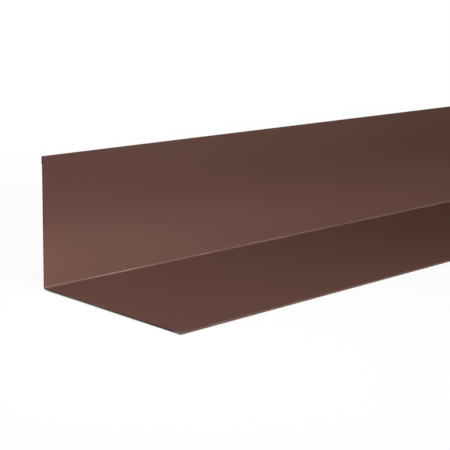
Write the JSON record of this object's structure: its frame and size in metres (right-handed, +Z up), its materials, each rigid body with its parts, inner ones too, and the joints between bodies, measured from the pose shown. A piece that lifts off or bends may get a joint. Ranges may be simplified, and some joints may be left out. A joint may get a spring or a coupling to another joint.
{
  "type": "wall abutment flashing",
  "caption": "L-shaped folded sheet steel flashing with a hem on each long edge; seals the joint where a sloping roof covering meets a wall.",
  "frame": {"origin": "middle of the footprint, on the surface that the flashing stands on", "axes": "+X along the stock, +Y towards the wall that the upstand lies against, +Z up the wall"},
  "size_m": [1, 0.1506, 0.1008],
  "materials": {
    "coated_steel": "satin chocolate-brown polyester coat on galvanised sheet steel, grey backing coat on the hidden face"
  },
  "bodies": {
    "root": {"flashing": "coated_steel"}
  },
  "joints": []
}
